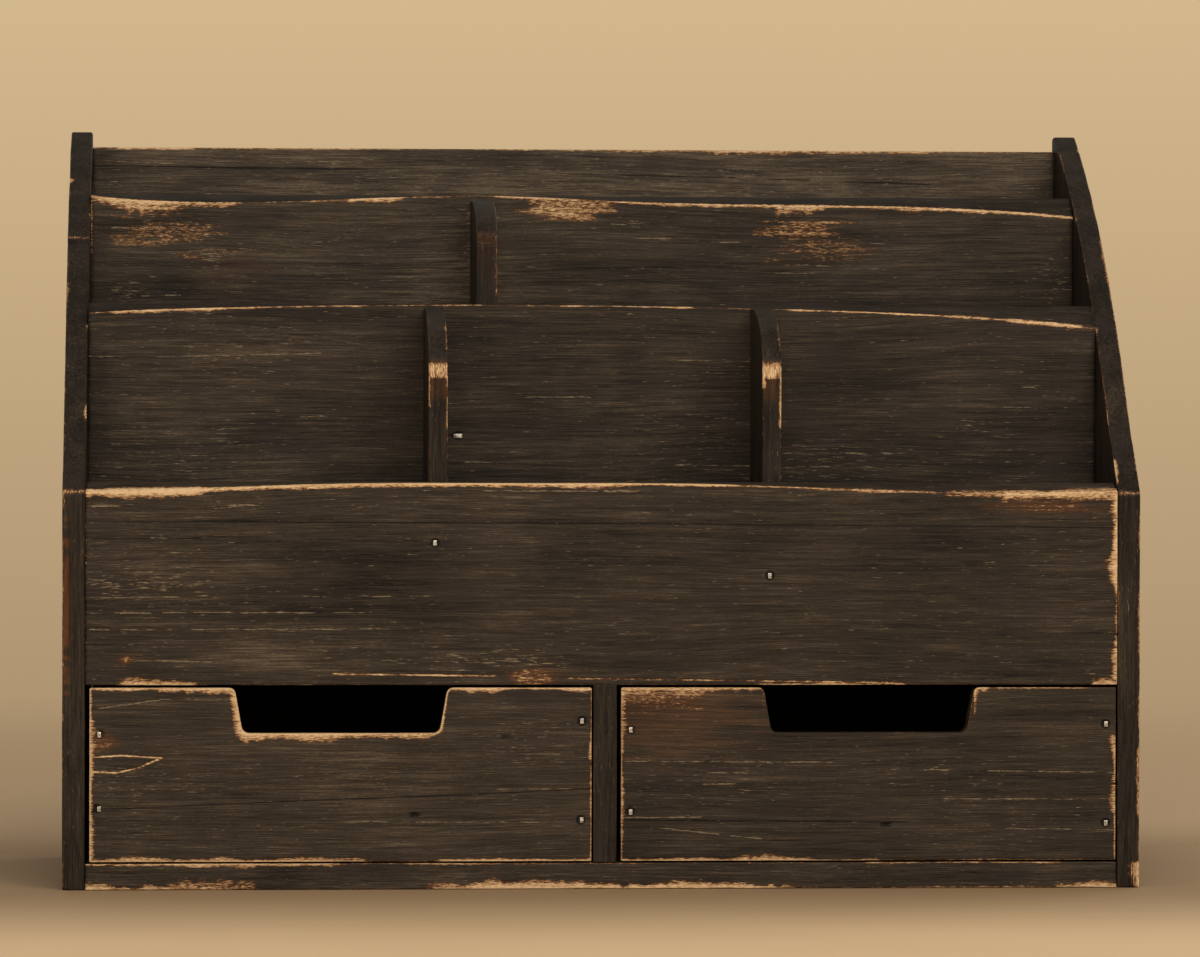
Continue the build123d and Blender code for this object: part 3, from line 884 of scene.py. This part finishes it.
upper.patch((-186, 243), (-142, 250), fade=8, wear=0.42, fleck=0.3)
upper.patch((-157, 236.6), (-136, 239), fade=4, fleck=0.42, wear=0.36)
upper.patch((-150, 226), (-126, 236), fade=8, fleck=0.14, glow=0.12)
upper.patch((66, 245), (103, 249.5), fade=6, wear=0.5, fleck=0.2)
upper.patch((74, 238), (108, 244), fade=9, wear=0.36, fleck=0.25, glow=0.15)
upper.patch((12, 250), (24, 251.5), fade=3, fleck=0.4)
upper.patch((-46.5, 222), (-44.5, 258), fade=0.8, fleck=0.5)
upper.patch((-120, 236), (-80, 246), fade=12, fleck=0.12)
upper.patch((-66, 216), (-50, 236), fade=8, fleck=0.16, tone=0.07)
upper.patch((40, 219), (56, 228), fade=5, tone=-0.12)
upper.patch((-130, 217), (-80, 225), fade=10, tone=-0.08)
upper.patch((182, 216), (191, 240), fade=4, fleck=0.2)
upper.patch((-166, 222), (-152, 231), fade=5, tone=-0.22)
upper.patch((-184, 220), (-168, 227), fade=5, fleck=0.35)
upper.patch((61.2, 224), (61.8, 232), fade=0.5, tone=-0.3)
# painted sheen: lighter towards the left
upper.patch((-180, 222), (0, 256), fade=30, tone=0.12)
upper.seams(0.3)
# painted shade on the rim's upward face, which keeps a quarter of its wear
upper.paint_shade_on_top(0.3, 0.25)
upper.make(stained_wood)

bay = Board("drawer_bay_divider", SEEN_FROM_SIDE, (1.6, 1.4), seed=11, ease=0.35, grain="up")
bay.tint("left", -0.15)
bay.patch((-1, 20), (1, 66), "left", 14, tone=0.05)
bay.make(stained_wood)

# a divider's top is level over this much at its rear, and its grid rows up to this far below its shoulder
DIVIDER_LEVEL = 5.0
DIVIDER_STILL = 30.0
DIVIDER_FINE = (0, 12, 0.4)
for node, shoulder, seed, left_run, right_run, band in (
    ("lower_divider_left", 190.0, 12, 179, 172, 0.95),
    ("lower_divider_right", 190.0, 13, 186, 172, 0.95),
    ("upper_divider", 240.5, 14, 240, 222, 0.3),
):
    crest = divider_top(node, shoulder, DIVIDER_LEVEL)
    divider = Board(
        node, SEEN_FROM_SIDE, (1.0, 1.0), crest, shoulder - DIVIDER_STILL, fine=(DIVIDER_FINE,),
        ease=0.8, grain="up", seed=seed,
    )
    divider.rub(("near", "left"), 0.5, 0.4, [(left_run, shoulder + 4, 1.5, 0.8 * band + 0.05)])
    divider.rub(("far", "left"), 0.6, 0.5, [(right_run, shoulder + 4, 1.3, 0.5 + 0.35 * band)])
    divider.rub(("far", "top"), 0.5, 0.5, [(12, 24, 1.2, 0.6)])
    # a band rubbed bare where the front edge turns into the curve
    for edge, below, above, fade, look in (
        ("top", 2, 4.5, 3, {"wear": 0.8 * band, "glow": 0.8 * band}),
        ("left", 0.8, 1.5, 1.6, {"wear": 0.7 * band, "glow": 0.7 * band}),
        ("left", 8, 6, 6, {"tone": 0.04, "glow": 0.3 * band}),
    ):
        divider.patch((-200, shoulder - below), (200, shoulder + above), edge, fade, streak=0.08, **look)
    # painted shade on the curved top
    divider.paint_shade_on_top(0.22)
    divider.tint("left", -0.22)
    # painted shade on the left face
    divider.tint("near", -0.2)
    divider.make(stained_wood)

# -------- the drawers
# grid rows of a front stay level up to this height, and its columns are close about a notch's flanks
DRAWER_STILL = 38.0
FLANK_REACH = 3.6
FLANK_STEP = 0.4
LEFT_MARKS = {
    "rubbed": 0.55,
    "pins": ((-185.9, 57.3), (-187.3, 30.0), (-8.2, 62.2), (-8.6, 25.6)),
    "top": (
        (-190, -162, 1.1, 0.9), (-163, -129, 2.7, 0.9), (-133, -59, 2.5, 0.88), (-60, -36, 2.6, 1.0),
        (-38, -4, 1.3, 1.0),
    ),
    "foot": ((-190, -100, 1.5, 0.9), (-98, -88, 1.8, 0.8), (-58, -4, 1.2, 1.0)),
    "left": ((10, 75, 1.8, 0.86), (52, 60, 4.4, 0.62)),
    "right": ((10, 75, 0.6, 0.75), (48, 54, 1.3, 0.9)),
    "lines": (
        ((-185, 67.2), (-163, 70.3), "light", 0.9),
        ((-163, 70.3), (-136, 70.6), "light", 0.5),
        ((-186, 29.6), (-119, 32.6), "dark", 0.3),
        ((-119, 32.6), (-45, 35.2), "dark", 0.4),
        ((-45, 35.2), (-4, 37.3), "dark", 0.3),
        ((-189, 49.0), (-178, 49.7), "bare", 1.1),
        ((-178, 49.7), (-164, 48.8), "bare", 1.1),
        ((-188, 43.6), (-180, 43.3), "bare", 1.1),
        ((-180, 43.3), (-172, 45.0), "bare", 1.1),
        ((-172, 45.0), (-164, 48.5), "bare", 1.1),
        ((-95, 25.0), (-20, 24.8), "light", 0.7),
        ((-40, 37.0), (-12, 37.2), "light", 0.7),
    ),
}
RIGHT_MARKS = {
    "rubbed": 0.42,
    "pins": ((9.8, 58.9), (9.8, 28.5), (187.0, 60.9), (187.2, 24.1)),
    "top": ((6, 56, 2.9, 0.78), (138, 143, 2.0, 0.8), (147, 178, 0.8, 0.65)),
    "foot": ((6, 74, 1.4, 0.92), (46, 66, 2.2, 0.85), (74, 100, 1.0, 0.8), (130, 190, 0.6, 0.55)),
    "left": ((10, 75, 1.5, 0.72), (58, 75, 2.6, 0.72)),
    "right": ((10, 27, 0.7, 0.8), (28, 38, 2.1, 0.76), (40, 56, 2.5, 0.78)),
    "lines": (
        ((8, 47.3), (84, 46.9), "light", 0.75),
        ((34, 43.2), (52, 43.0), "light", 0.7),
        ((38, 38.8), (48, 38.9), "light", 0.9),
        ((8, 25.5), (112, 24.6), "dark", 0.4),
        ((8, 26.4), (36, 26.6), "light", 0.9),
        ((22, 22.4), (58, 18.6), "light", 0.9),
        ((120, 43.9), (190, 42.9), "light", 0.75),
        ((128, 33.2), (190, 33.0), "light", 0.7),
        ((150, 22.2), (190, 21.6), "light", 0.6),
    ),
}
for drawer, seed, marks in (("left_drawer", 20, LEFT_MARKS), ("right_drawer", 30, RIGHT_MARKS)):
    middle, top = notch_top(drawer + "_front")
    walls = [middle + side * (NOTCH_TOP + NOTCH_FOOT) / 4 for side in (-1, 1)]
    flanks = [(wall - FLANK_REACH, wall + FLANK_REACH, FLANK_STEP) for wall in walls]
    face = Board(
        drawer + "_front", SEEN_FROM_FRONT, (1.6, 1.3), top, DRAWER_STILL, marks["lines"], marks["pins"],
        flanks, ease=0.6, seed=seed,
    )
    for side in ("top", "foot", "left", "right"):
        face.rub(("near", side), 0.6, marks["rubbed"], marks[side])
    if drawer == "left_drawer":
        face.patch((-188, 52), (-181, 57), fade=3, wear=0.42, glow=0.5)
        face.patch((-188, 36), (-150, 43), fade=10, fleck=0.24)
        face.patch((-160, 38), (-60, 46), fade=20, fleck=0.12)
        face.patch((-188, 44), (-168, 48.5), fade=3, tone=-0.06)
        face.patch((-40, 46), (-10, 60), fade=10, fleck=0.22)
        face.patch((-186, 14), (-100, 30), fade=14, fleck=0.1)
        face.dent((-70.2, 27.6), 1.2, 0.4, 0.7, stretch=1.7)
        face.dent((-36.1, 56.5), 1.2, 0.1, 0.35, stretch=2.0)
        face.tint("near", 0.1)
    else:
        face.patch((2, 66), (34, 78), fade=12, wear=0.4, glow=0.4)
        face.patch((0, 54), (44, 80), fade=16, glow=0.3, tone=0.1)
        face.patch((10, 34), (60, 46), fade=14, fleck=0.16)
        face.patch((100, 38), (150, 48), fade=14, fleck=0.14)
        face.patch((110, 18), (180, 34), fade=14, fleck=0.12)
        face.dent((105.0, 23.5), 1.1, 0.5, 0.8, stretch=1.9)
    face.make(stained_wood, drawer)
    sides = (("left_side", SEEN_FROM_SIDE), ("right_side", SEEN_FROM_SIDE), ("back", SEEN_FROM_FRONT))
    for number, (part, view) in enumerate(sides, 1):
        box_side = Board(f"{drawer}_{part}", view, (2.2, 2.0), ease=0.5, seed=seed + number)
        box_side.patch((-300, 40), (300, 80), fade=20, fleck=0.15)
        box_side.make(drawer_box_wood, drawer)
    bottom = Board(drawer + "_bottom", SEEN_FROM_ABOVE, (2.5, 2.5), ease=0.3, seed=seed + 4)
    bottom.make(drawer_plywood, drawer)

# -------- the brads
ROUNDING = 0.24 * MM
CREASE = math.radians(20)
NEARLY_FLAT = 0.01


def eased_brads(node, body):
    """The frame's flat wires with their edges rolled over."""
    shape = bmesh.new()
    shape.from_mesh(frame["nodes"][node].data)
    bmesh.ops.remove_doubles(shape, verts=shape.verts, dist=SAME_PLACE * MM)
    bmesh.ops.dissolve_limit(shape, angle_limit=NEARLY_FLAT, verts=shape.verts, edges=shape.edges)
    edges = [edge for edge in shape.edges if edge.calc_face_angle(0) > CREASE]
    bmesh.ops.bevel(
        shape, geom=edges, offset=ROUNDING, segments=3, profile=0.5, affect="EDGES", clamp_overlap=True
    )
    for face in shape.faces:
        face.smooth = True
    mesh = bpy.data.meshes.new(node + "_worn")
    shape.to_mesh(mesh)
    shape.free()
    show(node, mesh, brad_steel, body)


for name in list(frame["nodes"]):
    if name.endswith("_brads") or name == "stray_brad":
        bodies = [body for body in ("left_drawer", "right_drawer") if name.startswith(body)]
        eased_brads(name, bodies[0] if bodies else "case")

# -------- camera
CAMERA_PLACE = (-0.15480, -2.37772, 0.17343)
CAMERA_YAW = 0.0668236
CAMERA_PITCH = -0.0093640
CAMERA_ROLL = 0.0022815
CAMERA_LENS = 186.0
SENSOR_WIDTH = 36.0


def make_camera():
    """A long lens, level and nearly square on, where the photograph's was."""
    lens = bpy.data.cameras.new("camera")
    lens.sensor_width = SENSOR_WIDTH
    lens.lens = CAMERA_LENS
    camera = stand("camera", lens)
    level = math.cos(CAMERA_PITCH)
    forward = Vector((math.sin(CAMERA_YAW) * level, math.cos(CAMERA_YAW) * level, math.sin(CAMERA_PITCH)))
    right = forward.cross(Vector((0, 0, 1))).normalized()
    upward = right.cross(forward)
    tilted = Matrix((
        right * math.cos(CAMERA_ROLL) + upward * math.sin(CAMERA_ROLL),
        upward * math.cos(CAMERA_ROLL) - right * math.sin(CAMERA_ROLL),
        -forward,
    )).transposed()
    camera.matrix_world = Matrix.Translation(CAMERA_PLACE) @ tilted.to_4x4()
    bpy.context.scene.camera = camera


make_camera()

# -------- floor, backdrop and lights
# metres: the floor's radius, where it fades out, how far round the case its painted shadow reaches, and
# where it dulls
FLOOR_REACH = 2.4
FLOOR_SIDES = 96
FLOOR_FADE = (0.7, 1.6)
FLOOR_SHADOW_REACH = (-0.02, 0.26)
FLOOR_BEHIND = (-0.1, 0.4)
FLOOR_PALE = ((0.3, srgb(229, 200, 160)), (0.7, srgb(234, 205, 165)))
FLOOR_DULL = srgb(203, 176, 141)
# the colour of the shadow painted on the floor close round the case
FLOOR_PAINTED_SHADOW = srgb(160, 134, 103)
CASE_HALF = (cad_box[1][0], cad_box[1][1])
BACKDROP_RISE = (-0.045, 0.07)
BACKDROP_FOOT, BACKDROP_HEAD = srgb(174, 148, 113), srgb(212, 184, 142)
WORLD_COLOUR = srgb(255, 246, 232)
WORLD_LIGHT = 0.30
LAMPS = (
    # name, place, aim, size, watts and colour
    ("key", (0.45, -2.25, 1.8), (0, 0, 0.12), (2.4, 1.5), 50, srgb(255, 244, 230)),
    ("fill", (-1.7, -1.7, 1.0), (0, 0, 0.15), (1.2, 1.2), 6, srgb(255, 242, 226)),
    ("rear", (1.9, 1.8, 1.2), (0, 0, 0.15), (1.4, 1.2), 13, srgb(255, 238, 216)),
)


def make_floor():
    """A pale round floor that fades into the backdrop, with a shadow painted on it close round the case, and
    darker behind it.
    """
    shader = Shader("floor")
    place = shader.node("ShaderNodeTexCoord").outputs["Object"]
    away = shader.node("ShaderNodeVectorMath", operation="LENGTH")
    shader.feed(away.inputs[0], place)
    split = shader.node("ShaderNodeSeparateXYZ")
    shader.feed(split.inputs[0], place)
    mottle = shader.noise(place, (9, 9, 9), 3.0)
    beside = shader.math("SUBTRACT", shader.math("ABSOLUTE", split.outputs["X"]), CASE_HALF[0])
    before = shader.math("SUBTRACT", shader.math("ABSOLUTE", split.outputs["Y"]), CASE_HALF[1])
    # painted shadow: the floor takes a darker colour close round the case
    out_of_shadow = shader.remap(shader.math("MAXIMUM", beside, before), *FLOOR_SHADOW_REACH)
    far = shader.ramp(mottle, FLOOR_PALE)
    far = shader.mix(shader.remap(split.outputs["Y"], *FLOOR_BEHIND), far, FLOOR_DULL)
    shader.put("Base Color", shader.mix(out_of_shadow, FLOOR_PAINTED_SHADOW, far))
    shader.put("Roughness", 0.7)
    shader.put("Specular IOR Level", 0.2)
    shader.put("Alpha", shader.remap(away.outputs["Value"], *FLOOR_FADE, 1.0, 0.0))
    turns = [math.tau * index / FLOOR_SIDES for index in range(FLOOR_SIDES)]
    mesh = bpy.data.meshes.new("floor")
    ring = [(FLOOR_REACH * math.cos(turn), FLOOR_REACH * math.sin(turn), 0) for turn in turns]
    mesh.from_pydata(ring, [], [range(len(ring))])
    mesh.materials.append(shader.material)
    stand("floor", mesh)


def make_world():
    """Even light all round, and for the camera a pale backdrop that darkens towards the floor."""
    world = bpy.data.worlds.new("studio")
    world.use_nodes = True
    bpy.context.scene.world = world
    tree = Tree(world.node_tree)
    light = world.node_tree.nodes["Background"]
    light.inputs["Color"].default_value = WORLD_COLOUR
    light.inputs["Strength"].default_value = WORLD_LIGHT
    shown = tree.node("ShaderNodeBackground")
    rays = tree.node("ShaderNodeLightPath")
    seen = tree.math("MAXIMUM", rays.outputs["Is Camera Ray"], rays.outputs["Is Transmission Ray"])
    direction = tree.node("ShaderNodeTexCoord")
    split = tree.node("ShaderNodeSeparateXYZ")
    tree.feed(split.inputs[0], direction.outputs["Generated"])
    rise = tree.remap(split.outputs["Z"], *BACKDROP_RISE, curve="LINEAR")
    tree.feed(shown.inputs["Color"], tree.ramp(rise, ((0.0, BACKDROP_FOOT), (1.0, BACKDROP_HEAD))))
    choice = tree.node("ShaderNodeMixShader")
    for socket, output in zip(choice.inputs, (seen, light.outputs[0], shown.outputs[0])):
        tree.feed(socket, output)
    tree.feed(world.node_tree.nodes["World Output"].inputs["Surface"], choice.outputs[0])


def make_lamp(name, place, aim, size, power, colour):
    lamp = bpy.data.lights.new(name, "AREA")
    lamp.shape = "RECTANGLE"
    lamp.size, lamp.size_y = size
    lamp.energy = power
    lamp.color = colour[:3]
    holder = stand(name, lamp)
    holder.location = place
    holder.rotation_euler = (Vector(aim) - Vector(place)).to_track_quat("-Z", "Y").to_euler()


make_floor()
make_world()
for lamp in LAMPS:
    make_lamp(*lamp)
bpy.context.scene.view_settings.view_transform = "Standard"
